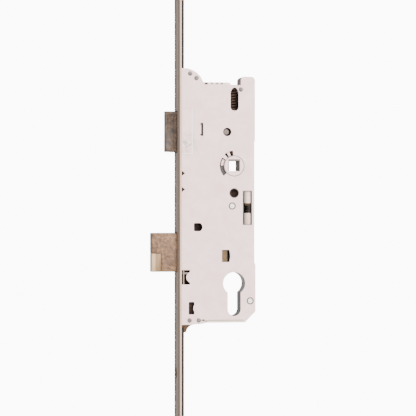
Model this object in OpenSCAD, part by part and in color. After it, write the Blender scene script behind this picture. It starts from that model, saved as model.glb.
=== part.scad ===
// Multipoint lock for a hinged door: a faceplate with four rollers, and a flat
// case with a spring latch, a deadbolt and the gearing that moves two drive rods.
// It is drawn thrown: latch and bolt out, rollers at their outer stations.
// +X runs into the door, -Y faces the cover side of the case, +Z is up.
// The origin is on the spindle axis, half way through the case's thickness.

/* [Faceplate] */
// Width of the faceplate across the door's edge
strip_w = 16; // [16:0.5:20]
// Thickness of the faceplate
strip_t = 3; // [2.5:0.25:4]
// Distance from the faceplate's front to the spindle axis
backset = 45; // [45:1:55]
// Height of the faceplate's top end above the spindle
strip_top = 780; // [770:10:1000]
// Depth of the faceplate's bottom end below the spindle
strip_bottom = 834; // [820:10:1000]
// Radius of the faceplate's front edges
strip_edge_r = 1; // [0.5:0.1:1.5]
// Clearance hole of a fixing screw in the faceplate
fixing_hole_d = 5; // [4:0.5:5.5]
// Countersink of a fixing screw
fixing_head_d = 9.4; // [8.5:0.1:10]

/* [Case] */
// Overall thickness of the case
case_t = 15; // [15:0.25:16]
// Thickness of the case's sheet steel
sheet = 1.2; // [1:0.1:1.3]
// Height of the case's top edge above the spindle
case_top = 65.4; // [64:0.2:70]
// Distance from the spindle to the case's rear edge
case_rear = 16.3; // [16.2:0.1:20]
// Distance from the spindle down to the cylinder's centre
cylinder_drop = 92; // [92:0.5:95]
// Depth of the case's bottom edge below the cylinder's centre
below_cylinder = 30.7; // [30:0.1:36]
// Diameter of the cylinder hole's round part
cylinder_d = 17.6; // [17.2:0.1:18]
// Width of the cylinder hole's tail
cylinder_tail_w = 10.3; // [10:0.1:10.8]
// Height of the whole cylinder hole
cylinder_h = 34.3; // [33.5:0.1:35]

/* [Bolts] */
// Height of the latch
latch_h = 31.8; // [28:0.2:32]
// Height of the latch's centre above the spindle
latch_z = 26.6; // [26.4:0.1:27]
// Throw of the latch beyond the faceplate
latch_throw = 10; // [8:0.5:10]
// Height of the deadbolt
bolt_h = 30.5; // [28:0.5:31]
// Height of the deadbolt's centre above the cylinder's centre
bolt_above = 24.4; // [24:0.1:25]
// Throw of the deadbolt beyond the faceplate
bolt_throw = 20; // [18:0.5:20]

/* [Gearing] */
// Side of the square spindle hole
spindle_w = 8; // [7:0.5:9]
// Diameter of the hub's bearing in the case
hub_d = 16.4; // [15:0.2:16.6]
// Travel of the drive rods from thrown to withdrawn
rod_travel = 22; // [18:0.5:22]
// Module of all the teeth
gear_m = 1.25; // [1.2:0.01:1.26]
// Teeth of a whole wheel of the hub's size
hub_teeth = 23; // [22:1:23]
// Teeth of the pinion that the hub turns
pinion_teeth = 11; // [11:1:12]
// Teeth of the wheel that moves both racks
wheel_teeth = 18; // [16:2:18]
// Diameter of the gear's stud
stud_d = 6; // [5:0.2:6.2]

/* [Rods and rollers] */
// Thickness of the drive rods
rod_t = 2.3; // [2:0.1:2.4]
// Diameter of a roller
roller_d = 10.3; // [9:0.1:12]
// Projection of a roller beyond the faceplate
roller_out = 8.5; // [8:0.1:11]
// Diameter of the spindle that a roller turns on
roller_pin_d = 5; // [4:0.1:5.4]
// Width of a roller's slot in the faceplate
slot_w = 8; // [7.6:0.1:9]
// Height of the first roller above the spindle
roller_1_z = 735; // [700:5:740]
// Height of the second roller above the spindle
roller_2_z = 330; // [300:5:340]
// Depth of the third roller below the spindle
roller_3_drop = 380; // [370:5:400]
// Depth of the fourth roller below the spindle
roller_4_drop = 770; // [760:5:780]

/* [Clearances] */
// Side clearance between sliding layers
slip = 0.2; // [0.15:0.01:0.25]
// Radial clearance of a turning fit
run = 0.05; // [0.03:0.01:0.09]
// Clearance round a bolt in its opening
bolt_slip = 0.35; // [0.3:0.05:0.5]
// Play between teeth, at the pitch line
backlash = 0.12; // [0.1:0.01:0.16]

/* [Hidden] */
$fn = 64;

// A cut runs this far past the face that it opens
past = 1;
// Seat clearance of a piece that rests against a stop
seat = 0.3;

// Planes of the faceplate and the case
face_x = -backset;
back_x = face_x + strip_t;
half_t = case_t / 2;
inner = half_t - sheet;
rear_in = case_rear - sheet;
case_bottom = cylinder_drop + below_cylinder;
bolt_drop = cylinder_drop - bolt_above;
// How far the case's top edge steps down behind the slot, and its bottom edge at the sill
top_step_drop = 1.9;
sill_drop = 1.6;

// Four working layers between the cover and the tray, all of one thickness
layer_t = (2 * inner - 5 * slip) / 4;
function layer(i) = [-inner + slip + i * (layer_t + slip), -inner + (i + 1) * (layer_t + slip)];
latch_layer = layer(0);
rack_layer = layer(1);
pinion_layer = layer(2);
slide_layer = layer(3);

// The rods pass the bolts as thin rails against the shells
rail_t = 1.2;
rail_w = 6.9;
rail_x = back_x + 0.1;
rod_back = rail_x + rod_t;
rod_half = inner - slip;
bolt_half = rod_half - rail_t - slip;

// Teeth
pressure = 25;
hub_r = gear_m * hub_teeth / 2;
pinion_r = gear_m * pinion_teeth / 2;
wheel_r = gear_m * wheel_teeth / 2;
gear_z = -(hub_r + pinion_r);
addendum = 0.9 * gear_m;
dedendum = 1.25 * gear_m;
pitch = PI * gear_m;
// Turn of the hub that carries the rods over their whole travel
hub_turn = rod_travel / (wheel_r * hub_r / pinion_r) * 180 / PI;
rack_reach = 5.5;

// Hub lugs, in degrees anticlockwise from +X as seen from the cover side
arm_lead = 107;
arm_trail = 120;
arm_r = 12.4;
lug_r = 11.3;
lug_trail = 225;
lug_lead = 183;
heel_lead = 148;
heel_r = 10.5;
lift_lead = 180 + hub_turn / 2;
// Teeth of the hub's sector, enough for the whole turn
sector_teeth = 1 + ceil(hub_turn / (360 / hub_teeth));
sector_from = 270 - 360 / hub_teeth;
sector_to = 270 + (sector_teeth - 1) * 360 / hub_teeth + 2;

// Latch
latch_len = 24;
latch_tip = face_x - latch_throw;
latch_back = latch_tip + latch_len;
latch_lo = latch_z - latch_h / 2;
latch_hi = latch_z + latch_h / 2;
latch_tip_flat = 2.2;
tail_lo = arm_r + 0.7;
tail_hi = tail_lo + 6.8;
hook_x = -2.3;
hook_w = 3.8;
hook_lo = 9.2;

// Spring post of the latch, and the spring between it and the latch
post_x = -6.2;
post_d = 4.4;
post_hole_d = 6.6;
post_hole_x = post_x + 0.6;
post_front = -half_t + 1;
post_block_x = post_x - 2.6;
latch_spring_r = 2.2;
latch_spring_wire = 0.8;
latch_spring_turns = 10;
// Gap between a spring's end and the face that it bears on
spring_seat = 0.02;

// Hub return spring and the follower that presses on it
return_x = 0.3;
return_r = 2.5;
return_wire = 0.9;
return_turns = 8;
return_lo = 44;
return_hi = case_top - top_step_drop - sheet;
follower_w = 2.4;
foot_x = -(lug_r - 0.2);
foot_z = -(hub_d / 2 + 0.4) * tan(hub_turn / 2) + seat;

// Deadbolt, its tail and its lever
bolt_tip = face_x - bolt_throw;
bolt_back = bolt_tip + 31;
bolt_lo = -bolt_drop - bolt_h / 2;
bolt_hi = -bolt_drop + bolt_h / 2;
bolt_heel = -bolt_drop - 1.4;
heel_cut = 6;
insert_w = 7.5;
insert_h = 14.5;
tail_t = 3;
tail_y = [-bolt_half, -bolt_half + tail_t];
bolt_tail_lo = -bolt_drop - 8.4;
bolt_tail_hi = -bolt_drop + 3.6;
block_w = 6.3;
block_end = rear_in - seat - bolt_throw;
lever_swing = 30;
lever_r = bolt_throw / 2 / sin(lever_swing);
lever_x = bolt_back + 4 + bolt_throw / 2;
lever_z = -cylinder_drop;
lever_y = [tail_y[1] + slip, tail_y[1] + slip + 3.2];
lever_post_d = 5;
lever_pin_d = 4;
lever_slot_w = lever_pin_d + 0.7;

// Screw blocks that hold the case to the faceplate
block_z = [-12.8, -cylinder_drop - 19.3];
block_h = 9.2;
block_half = bolt_half - slip;
case_screw_d = 4;
case_screw_head = 7.6;

// Door fixings, and the clips that hold the rods behind the faceplate
// Each is placed by its distance from the roller or the end of the case beside it
upper_fixing_from = [38, 120, 94.6];
lower_fixing_from = [39.2, 60, 39];
upper_clip_from = [65, 44, 149.6];
lower_clip_from = [92.3, 45, 80];
upper_fixings = [
    roller_1_z - upper_fixing_from[0], roller_2_z + upper_fixing_from[1], case_top + upper_fixing_from[2]
];
lower_fixings = [
    -case_bottom - lower_fixing_from[0], -roller_3_drop - lower_fixing_from[1],
    -roller_4_drop + lower_fixing_from[2]
];
upper_clips = [roller_1_z - upper_clip_from[0], roller_2_z + upper_clip_from[1], case_top + upper_clip_from[2]];
lower_clips = [
    -case_bottom - lower_clip_from[0], -roller_3_drop - lower_clip_from[1], -roller_4_drop + lower_clip_from[2]
];
clip_h = 12;
rod_slot_w = fixing_hole_d + 1;

// Rollers
upper_rollers = [roller_1_z, roller_2_z];
lower_rollers = [-roller_3_drop, -roller_4_drop];
stud_base_d = slot_w - 0.8;
slot_ahead = rod_travel + slot_w / 2 + 1.3;
slot_behind = slot_w / 2 + 8;
roller_base = 1.7;
rod_end = 14;
rod_join_hi = case_top + 2.1;
prong_top = -case_bottom - 3.3;
prong_len = 14;
rail_foot = -case_bottom - 12.3;
bracket_end = rail_x + 12.6;

// Rails, racks and the slide that the gear moves
upper_rail_end = gear_z - rack_reach;
step_top = upper_rail_end + 7.4;
slide_lo = gear_z - rod_travel - 7.25;
slide_hi = slide_lo + 10.5;
rack_top = gear_z + 4.3;

// Buffer spring in the lower rack's face, and its brass cup
buffer_lo = gear_z - 15.65;
buffer_hi = gear_z - 7.85;
buffer_x = [8.8, rear_in - slip - 1.4];
buffer_r = 1;
buffer_wire = 0.6;
buffer_turns = 4;
cup_h = 1.8;
face_step = 1.6;

// Collar round the rear side of the cylinder's hole
collar_t = 1.1;
collar_x = 2;
collar_gap = 0.1;

// Profiles are drawn in X and Z and given their depth along Y
module slab(y) {
    translate([0, y[1], 0]) rotate([90, 0, 0]) linear_extrude(y[1] - y[0]) children();
}

module box2(x0, x1, z0, z1) {
    translate([x0, z0]) square([x1 - x0, z1 - z0]);
}

module rounded2(x0, x1, z0, z1, r) {
    box2(x0 + r, x1 - r, z0, z1);
    box2(x0, x1, z0 + r, z1 - r);
    for (x = [x0 + r, x1 - r], z = [z0 + r, z1 - r]) translate([x, z]) circle(r);
}

module disc2(x, z, d) {
    translate([x, z]) circle(d = d);
}

// Slice of a ring between two angles less than a half turn apart
module arc2(r0, r1, a0, a1) {
    far = 3 * r1;
    mid = (a0 + a1) / 2;
    intersection() {
        difference() {
            circle(r1);
            circle(r0);
        }
        polygon([[0, 0], far * [cos(a0), sin(a0)], far * [cos(mid), sin(mid)], far * [cos(a1), sin(a1)]]);
    }
}

// A rod along X, from x0 to x1
module rod_x(x0, x1, z, d) {
    translate([x0, 0, z]) rotate([0, 90, 0]) cylinder(d = d, h = x1 - x0);
}

// A post along Y at a place in the case
module post_y(x, z, d, y) {
    slab(y) disc2(x, z, d);
}

// Involute teeth: half the angle that a tooth covers at radius r
function involute(a) = tan(a) * 180 / PI - a;
function tooth_half(teeth, r) =
    let (rp = gear_m * teeth / 2, rb = rp * cos(pressure))
    90 / teeth - backlash / 4 / rp * 180 / PI + involute(pressure) - involute(acos(min(1, rb / r)));
function tooth_points(teeth, at, steps = 4) =
    let (rp = gear_m * teeth / 2, r0 = rp - dedendum, r1 = rp + addendum)
    [for (side = [-1, 1], i = [0:steps])
        let (r = side < 0 ? r0 + (r1 - r0) * i / steps : r1 - (r1 - r0) * i / steps)
        let (a = at + side * tooth_half(teeth, r))
        r * [cos(a), sin(a)]];

module wheel2(teeth, first) {
    polygon([for (k = [0:teeth - 1]) each tooth_points(teeth, first + 360 * k / teeth)]);
}

// A rack's edge along Z: its teeth point towards +X from the line x
module rack2(x, z_centre, from, to, back) {
    tip = (pitch / 2 - backlash / 2) / 2 - addendum * tan(pressure);
    root = (pitch / 2 - backlash / 2) / 2 + dedendum * tan(pressure);
    first = ceil((from - z_centre) / pitch - 0.5 + root / pitch);
    last = floor((to - z_centre) / pitch - 0.5 - root / pitch);
    polygon([
        [back, from], [x - dedendum, from],
        for (k = [first:last])
            let (z = z_centre + (k + 0.5) * pitch)
            each [[x - dedendum, z - root], [x + addendum, z - tip], [x + addendum, z + tip], [x - dedendum, z + root]],
        [x - dedendum, to], [back, to]
    ]);
}

// A coil spring as one tube, 8 rings to a curl and 6 sides round the wire
function coil_point(r, len, turns, i, n) =
    let (a = 360 * turns * i / n) [r * cos(a), r * sin(a), len * i / n];
module coil(r, wire, len, turns) {
    n = turns * 8;
    sides = 6;
    rings = [for (i = [0:n]) let (a = 360 * turns * i / n, c = coil_point(r, len, turns, i, n))
        [for (j = [0:sides - 1]) let (b = 360 * j / sides)
            c + wire / 2 * [cos(b) * cos(a), cos(b) * sin(a), sin(b)]]];
    polyhedron(
        points = [for (ring = rings) each ring],
        faces = concat(
            [[for (j = [0:sides - 1]) sides - 1 - j]],
            [for (i = [0:n - 1], j = [0:sides - 1]) let (k = (j + 1) % sides)
                each [[i * sides + j, i * sides + k, (i + 1) * sides + k],
                      [i * sides + j, (i + 1) * sides + k, (i + 1) * sides + j]]],
            [[for (j = [0:sides - 1]) n * sides + j]]
        )
    );
}
// A coil whose wire rests against the planes at both its ends
function coil_len(wire, from, to) = to - from - wire - 2 * spring_seat;
module seated_coil(r, wire, from, to, turns) {
    translate([0, 0, from + wire / 2 + spring_seat]) coil(r, wire, coil_len(wire, from, to), turns);
}
// Least gap between one curl of a coil and the next, measured on its rings
function coil_gap(r, wire, from, to, turns) =
    let (n = turns * 8, len = coil_len(wire, from, to))
    min([for (i = [0:n - 8], k = [6:10])
        if (i + k <= n) norm(coil_point(r, len, turns, i, n) - coil_point(r, len, turns, i + k, n))]) - wire;

// Outline of the case, drawn in by d all round but open at the faceplate
tab_x = 5.2;
ear_x = back_x + 2.6;
ear_z = case_top - 4.9;
ear_r = 15.7;
tab_top = case_top + 4.7;
sill_x = back_x + 9;
gate_end = bracket_end + 0.5;
bulge_z = -case_bottom + 47.2;
module case_outline(d) {
    front = d > 0 ? back_x - past : back_x;
    top_step = case_top - top_step_drop;
    polygon([
        [front, -case_bottom - sill_drop + d], [sill_x - d, -case_bottom - sill_drop + d],
        [sill_x + 8.6 - d, -case_bottom - 0.7 + d], [back_x + 19.1, -case_bottom + d],
        [case_rear - 7.4 - 0.4 * d, -case_bottom + d], [case_rear + 0.9 - d, -case_bottom + 8.6 + 0.4 * d],
        [case_rear + 0.9 - d, bulge_z - 2.3 + 0.3 * d], [case_rear - d, bulge_z + 0.3 * d], [case_rear - d, 19],
        [case_rear + 0.5 - d, 19.6], [case_rear + 0.5 - d, case_top - 10], [tab_x, case_top - 10],
        [tab_x, top_step - d], [-2.2 - d, top_step - d], [-3.6 - d, case_top - d], [ear_x, case_top - d],
        [ear_x, ear_z + ear_r - d], [front, ear_z + ear_r - d]
    ]);
    intersection() {
        disc2(ear_x, ear_z, 2 * (ear_r - d));
        box2(ear_x, ear_x + ear_r, ear_z, ear_z + ear_r);
    }
    rounded2(tab_x + d, case_rear + 0.5 - d, case_top - 16, tab_top - d, 3 - d);
    box2(0, case_rear - 2, case_top - 16, top_step - d);
}

// The cylinder's hole, drawn larger by a margin all round
module cylinder_hole(margin = 0) {
    disc2(0, -cylinder_drop, cylinder_d + 2 * margin);
    tail_end = -cylinder_drop + cylinder_d / 2 - cylinder_h + cylinder_tail_w / 2;
    half_w = cylinder_tail_w / 2 + margin;
    box2(-half_w, half_w, tail_end, -cylinder_drop);
    disc2(0, tail_end, 2 * half_w);
}

// Rivets and posts: place, head, and whether a post stands under it
post_tube_d = 3.9;
rivet_d = 3.4;
shank_d = rivet_d - 0.6;
ear_rivet_r = ear_r - sheet - post_tube_d / 2 - seat;
ear_rivets = [for (a = [69.3, 40.3]) [ear_x + ear_rivet_r * cos(a), ear_z + ear_rivet_r * sin(a)]];
sill_rivets = [[back_x + 6.5, -case_bottom + 2], [back_x + 13.8, -case_bottom + 2]];
top_rivet = [5.3, case_top - 5.5];
cylinder_rivet = [case_rear - 3.5, -cylinder_drop - 13.8];
plate_rivet = [-1.6, gear_z - 10.15];
ring_d = 5.6;
sill_tab_y = [-inner, -inner + sheet];

module faceplate_screw(z, hole, head) {
    rod_x(face_x - past, back_x + past, z, hole);
    sink = (head - hole) / 2;
    translate([face_x, 0, z]) rotate([0, 90, 0]) cylinder(d1 = head, d2 = hole, h = sink);
    rod_x(face_x - past, face_x, z, head);
}

module slot_x(x0, x1, w, z0, z1) {
    for (z = [z0 + w / 2, z1 - w / 2]) rod_x(x0, x1, z, w);
    translate([x0, -w / 2, z0 + w / 2]) cube([x1 - x0, w, z1 - z0 - w]);
}

module faceplate() color("#a8957f") difference() {
    translate([0, 0, -strip_bottom]) linear_extrude(strip_top + strip_bottom) {
        translate([face_x + strip_edge_r, -strip_w / 2]) square([strip_t - strip_edge_r, strip_w]);
        translate([face_x, -strip_w / 2 + strip_edge_r]) square([strip_t, strip_w - 2 * strip_edge_r]);
        for (y = [-1, 1]) translate([face_x + strip_edge_r, y * (strip_w / 2 - strip_edge_r)])
            circle(strip_edge_r);
    }
    slab([-bolt_half - bolt_slip, bolt_half + bolt_slip]) {
        box2(face_x - past, back_x + past, latch_lo - bolt_slip, latch_hi + bolt_slip);
        box2(face_x - past, back_x + past, bolt_lo - bolt_slip, bolt_hi + bolt_slip);
    }
    for (z = upper_rollers) slot_x(face_x - past, back_x + past, slot_w, z - slot_ahead, z + slot_behind);
    for (z = lower_rollers) slot_x(face_x - past, back_x + past, slot_w, z - slot_behind, z + slot_ahead);
    for (z = concat(upper_fixings, lower_fixings)) faceplate_screw(z, fixing_hole_d, fixing_head_d);
    for (z = block_z) faceplate_screw(z, case_screw_d, case_screw_head);
}

// Strip bent round the rear side of the cylinder's hole, open in front for the cylinder's cam
module cylinder_collar() color("#bdb5b1") slab([-inner + collar_gap, inner]) intersection() {
    difference() {
        cylinder_hole(collar_t);
        cylinder_hole(0.1);
    }
    box2(collar_x, case_rear, -case_bottom, -cylinder_drop + cylinder_d);
}

module case_tray() color("#d9d0cd") {
    difference() {
        union() {
            slab([inner, half_t]) case_outline(0);
            slab([-inner, inner]) difference() {
                case_outline(0);
                case_outline(sheet);
                box2(back_x - past, ear_x, case_top, ear_z + ear_r + past);
                box2(back_x - past, gate_end, -case_bottom - sill_drop - past, -case_bottom + past);
            }
            slab(sill_tab_y) box2(back_x + 3.6, back_x + 18, -case_bottom - 0.4, -case_bottom + 4.6);
        }
        slab([-half_t, half_t + past]) {
            disc2(0, 0, hub_d + 2 * run);
            cylinder_hole();
            for (p = concat(ear_rivets, sill_rivets, [top_rivet, cylinder_rivet]))
                disc2(p[0], p[1], shank_d);
        }
    }
}

// Windows over the hub's lugs, from its bearing out past the lugs' tips
arm_window = [95, 130];
lug_window = [145, 223];
// Slot over the hub's return spring: sides, foot, and how far its top lies below the case's
top_slot_x = [-2.9, 3.5];
top_slot_lo = 43;
top_slot_drop = 4;
// Lanced slot behind the latch, and how far the ticks at its ends reach
lance_x = [back_x + 15.9, back_x + 17.1];
lance_z = [latch_z - 3.1, latch_z + 6.8];
lance_tick = 1.2;
// Window over the lower rack's buffer
buffer_window_x = [7.3, 13.8];
buffer_window_z = [gear_z - 24.65, gear_z + 1.45];
// Round-sided window over the slides' crossing plate
slide_window = [back_x + 12.8, slide_lo + 2.6];
// Window over the bolt's tail block
block_window_x = [-9.8, -3.2];
block_window_z = [bolt_tail_lo + 0.7, bolt_tail_hi - 1.7];
// E-shaped window at the front edge: foot and top
e_window_z = [-cylinder_drop - 0.7, -cylinder_drop + 10.6];
// Hole beside the lower screw block
block_hole_x = [back_x + 5.8, back_x + 10.3];

// Everything that is cut through the cover alone
module cover_cuts() {
    disc2(0, 0, hub_d + 2 * run);
    arc2(hub_d / 2 - 1, lug_r + 0.2, lug_window[0], lug_window[1]);
    arc2(hub_d / 2 - 1, arm_r - 0.4, arm_window[0], arm_window[1]);
    cylinder_hole();
    top_slot();
    disc2(post_hole_x, latch_z, post_hole_d);
    box2(lance_x[0], lance_x[1], lance_z[0], lance_z[1]);
    for (z = [lance_z[0] + 0.4, lance_z[1] - 1.2]) box2(lance_x[0] - lance_tick, lance_x[1], z, z + 0.8);
    disc2(0, gear_z, stud_d + 0.6);
    rounded2(buffer_window_x[0], buffer_window_x[1], buffer_window_z[0], buffer_window_z[1], 1.5);
    intersection() {
        box2(slide_window[0] - 2.9, slide_window[0] + 3.9, slide_window[1] - 3.2, slide_window[1] + 3.2);
        disc2(slide_window[0], slide_window[1], 7.8);
    }
    // The tail block's window has a bowed rear edge
    intersection() {
        box2(block_window_x[0], block_window_x[1], block_window_z[0], block_window_z[1]);
        disc2(block_window_x[1] - 15.4, (block_window_z[0] + block_window_z[1]) / 2, 30.8);
    }
    e_window();
    // The hole beside the lower screw block is hollow at its rear side
    difference() {
        rounded2(block_hole_x[0], block_hole_x[1], block_z[1] - 4.8, block_z[1] + 5, 0.8);
        disc2(block_hole_x[1] + 4, block_z[1] + 0.1, 9.6);
    }
    // Crimping notches above and below the upper screw block
    for (z = [-1, 1]) translate([back_x + 0.4, block_z[0] + 0.6 + z * (block_h / 2 + 1.7)])
        polygon([[0, -2], [2.6, 0], [0, 2]]);
    edge_notches();
    for (p = concat(ear_rivets, sill_rivets, [top_rivet])) disc2(p[0], p[1], shank_d);
    for (p = [cylinder_rivet, plate_rivet]) disc2(p[0], p[1], ring_d);
}

// A slot with a round foot and a blunt arch at its top
module top_slot() {
    top = case_top - top_slot_drop;
    half_w = (top_slot_x[1] - top_slot_x[0]) / 2;
    mid = (top_slot_x[0] + top_slot_x[1]) / 2;
    arch_r = 5.6;
    springing = top - 4.6;
    disc2(mid, top_slot_lo + half_w, 2 * half_w);
    box2(top_slot_x[0], top_slot_x[1], top_slot_lo + half_w, springing);
    intersection() {
        disc2(top_slot_x[0] + arch_r, springing, 2 * arch_r);
        disc2(top_slot_x[1] - arch_r, springing, 2 * arch_r);
        disc2(mid, top - 3.4, 6.8);
    }
}

// Two upright slots with a strip of sheet between them, and a horn at each end
module e_window() {
    mid = (e_window_z[0] + e_window_z[1]) / 2;
    box2(back_x + 0.3, back_x + 1.4, e_window_z[0], e_window_z[1]);
    difference() {
        box2(back_x + 2.2, back_x + 6.8, e_window_z[0], e_window_z[1]);
        disc2(back_x + 8, mid, 8.2);
        box2(back_x + 6, back_x + 6.8 + past, mid - 3.9, mid + 3.9);
    }
}

// Small notches in the cover's top, bottom and rear edges
module edge_notches() {
    for (x = [23.4, 27.4, 31.2]) box2(back_x + x, back_x + x + 1.7, case_top - 0.9, case_top + past);
    box2(back_x + 18.5, back_x + 20.9, case_top - 1.8, case_top + past);
    box2(back_x + 18.1, back_x + 20.1, -case_bottom - past, -case_bottom + 1.2);
    box2(case_rear - 0.3, case_rear + 2, -cylinder_drop - 0.3, -cylinder_drop + 1.9);
}

module case_cover() color("#e4dbd8") {
    difference() {
        slab([-half_t, -inner]) case_outline(0.2);
        slab([-half_t - past, 0]) union() {
            cover_cuts();
            box2(back_x - 2, back_x, -case_bottom - 5, case_top + 15);
        }
    }
    // Pad pressed out over the latch's guide
    slab([-half_t - 0.3, -half_t]) rounded2(back_x + 0.4, back_x + 9, latch_lo - 1.9, latch_hi + 1.8, 0.8);
}

module rivet(p, y0, y1) {
    post_y(p[0], p[1], shank_d, [y0, y1]);
    translate([p[0], y0, p[1]]) rotate([90, 0, 0]) cylinder(d1 = rivet_d, d2 = rivet_d - 0.8, h = 0.4);
}

module case_rivets() color("#cfc6c2") {
    for (p = concat(ear_rivets, [top_rivet])) rivet(p, -half_t, half_t);
    for (p = sill_rivets) rivet(p, -half_t, sill_tab_y[1]);
    post_y(cylinder_rivet[0], cylinder_rivet[1], ring_d, [-half_t, -inner]);
    post_y(cylinder_rivet[0], cylinder_rivet[1], shank_d, [-inner, half_t]);
    post_y(plate_rivet[0], plate_rivet[1], ring_d, [-half_t, -inner]);
}

module case_posts() color("#bdb5b1") for (p = concat(ear_rivets, [top_rivet, cylinder_rivet])) {
    difference() {
        post_y(p[0], p[1], post_tube_d, [-inner, inner]);
        post_y(p[0], p[1], shank_d, [-half_t, half_t]);
    }
}

module screw_blocks() color("#5c5350") difference() {
    union() {
        for (z = block_z) slab([-block_half, block_half])
            box2(back_x, back_x + 9.5, z - block_h / 2, z + block_h / 2);
        slab([-inner, inner])
            box2(back_x + 7.4, back_x + 9.5, block_z[0] - block_h / 2, block_z[0] + block_h / 2);
        slab([-inner, 0])
            box2(back_x + 3, back_x + 5.6, block_z[1] - block_h / 2, block_z[1] + block_h / 2);
    }
    for (z = block_z) rod_x(back_x - past, back_x + 8, z, case_screw_d);
}

module case_screws() color("#b5a68c") for (z = block_z) difference() {
    union() {
        rod_x(face_x, back_x + 8, z, case_screw_d);
        translate([face_x, 0, z]) rotate([0, 90, 0])
            cylinder(d1 = case_screw_head, d2 = case_screw_d, h = (case_screw_head - case_screw_d) / 2);
    }
    for (a = [0, 90]) translate([face_x, 0, z]) rotate([a, 0, 0])
        cube([2.4, 0.9, 4.2], center = true);
}

module latch_guide() color("#b9aeab") slab([-bolt_half + slip, inner]) {
    box2(back_x + 0.4, back_x + 9, latch_hi + bolt_slip, latch_hi + bolt_slip + 1.4);
    box2(back_x + 0.4, back_x + 9, latch_lo - bolt_slip - 1.4, latch_lo - bolt_slip);
}

module deadbolt_guide() color("#b9aeab") slab([-inner, bolt_half - slip]) {
    box2(back_x + 0.8, back_x + 7.8, bolt_hi + bolt_slip, bolt_hi + bolt_slip + 1.3);
    box2(back_x + 0.8, back_x + 7.8, bolt_lo - bolt_slip - 1.5, bolt_lo - bolt_slip);
}

module gear_stud() color("#8d8682") post_y(0, gear_z, stud_d, [rack_layer[0], inner]);

module lever_post() color("#8d8682") {
    post_y(lever_x, lever_z, lever_post_d, [lever_y[0] - 1, inner]);
    post_y(lever_x, lever_z, lever_post_d + 3, [lever_y[1] + slip, inner]);
}

module latch_spring_post() color("#c9c0b8") {
    post_y(post_x, latch_z, post_d, [post_front, inner]);
    slab([-latch_spring_r - 0.5, latch_spring_r + 0.5])
        box2(post_block_x, post_x, latch_z - 3.2, latch_z + 3.2);
}

module latch_spring() color("#9a9590") translate([0, 0, latch_z]) rotate([0, 90, 0])
    seated_coil(latch_spring_r, latch_spring_wire, latch_back, post_block_x, latch_spring_turns);

module hub_return_spring() color("#6f6863") translate([return_x, 0, 0])
    seated_coil(return_r, return_wire, return_lo, return_hi, return_turns);

module rod_guides() color("#94877a") for (z = concat(upper_clips, lower_clips)) difference() {
    translate([back_x, -strip_w / 2 + 0.2, z - clip_h / 2]) cube([rod_t + 1.5, strip_w - 0.4, clip_h]);
    translate([back_x - past, -rod_half - slip, z - clip_h / 2 - past])
        cube([rod_t + 0.3 + past, 2 * (rod_half + slip), clip_h + 2 * past]);
}

module spindle_hub() color("#c8c0b6") difference() {
    union() {
        post_y(0, 0, hub_d, [-half_t, half_t]);
        slab(latch_layer) {
            arc2(hub_d / 2 - 1, arm_r, arm_lead, arm_trail);
            arc2(hub_d / 2 - 1, lug_r, lug_lead, lug_trail);
            arc2(hub_d / 2 - 1, heel_r, heel_lead, lug_lead + 1);
        }
        slab(pinion_layer) {
            arc2(hub_d / 2 - 1, hub_r - dedendum, sector_from, sector_to);
            for (k = [0:sector_teeth - 1]) intersection() {
                polygon(tooth_points(hub_teeth, 270 + (k - 0.5) * 360 / hub_teeth));
                circle(hub_r + addendum);
            }
        }
        slab(slide_layer) arc2(hub_d / 2 - 1, lug_r, lift_lead, lug_trail);
    }
    slab([-half_t - past, half_t + past]) square(spindle_w, center = true);
}

module drive_gear() color("#b08d57") difference() {
    union() {
        translate([0, 0, gear_z]) slab(rack_layer) wheel2(wheel_teeth, 0);
        translate([0, 0, gear_z]) slab([rack_layer[1], pinion_layer[1]]) wheel2(pinion_teeth, 90);
    }
    post_y(0, gear_z, stud_d + 2 * run, [-half_t, half_t]);
}

module spring_follower() color("#a9a19b") {
    slab(slide_layer) {
        box2(foot_x, foot_x + follower_w, foot_z, return_lo - 6);
        box2(foot_x, return_x + 3, return_lo - 8, return_lo - 4);
        box2(return_x - 3, return_x + 3, return_lo - 8, return_lo);
    }
    slab([-return_r - 0.6, slide_layer[0]]) box2(return_x - 3, return_x + 3, return_lo - 3, return_lo);
}

module latch_bolt() color("#a08b7c") {
    translate([0, 0, latch_lo]) linear_extrude(latch_h) polygon([
        [latch_tip, -bolt_half], [latch_back, -bolt_half], [latch_back, bolt_half],
        [face_x - 0.5, bolt_half], [latch_tip, -bolt_half + latch_tip_flat]
    ]);
}

module latch_tail() color("#8f8883") slab(latch_layer) {
    box2(latch_back, hook_x + hook_w, tail_lo, tail_hi);
    box2(hook_x, hook_x + hook_w, hook_lo, tail_hi);
}

// Slots and stud holes of a rod that moves by travel, down or up
module rod_openings(fixings, rollers, travel) {
    for (z = fixings) slot_x(rail_x - past, rod_back + past, rod_slot_w,
        z - rod_slot_w / 2 - 1 - max(0, -travel), z + rod_slot_w / 2 + 1 + max(0, travel));
    for (z = rollers) rod_x(rail_x - past, rod_back + past, z, roller_pin_d);
}

module upper_drive_rod() color("#6d6258") {
    difference() {
        translate([rail_x, -rod_half, rod_join_hi])
            cube([rod_t, 2 * rod_half, roller_1_z + rod_end - rod_join_hi]);
        rod_openings(upper_fixings, upper_rollers, rod_travel);
    }
    slab([-rod_half, -rod_half + rail_t]) {
        box2(rail_x, rail_x + rail_w, upper_rail_end, rod_join_hi - 4);
        box2(rail_x, rod_back, rod_join_hi - 4, rod_join_hi);
    }
}

module upper_rack() color("#b7ada6") {
    slab(rack_layer) {
        rack2(-wheel_r, gear_z, upper_rail_end, gear_z + rod_travel + rack_reach, -wheel_r - dedendum - 4);
        box2(back_x + 11.4, -wheel_r - dedendum - 3.9, upper_rail_end, -10);
        box2(rail_x, back_x + 11.5, upper_rail_end, step_top);
    }
    slab([-rod_half + rail_t, rack_layer[0]]) box2(rail_x, rail_x + rail_w, upper_rail_end, step_top);
}

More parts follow.
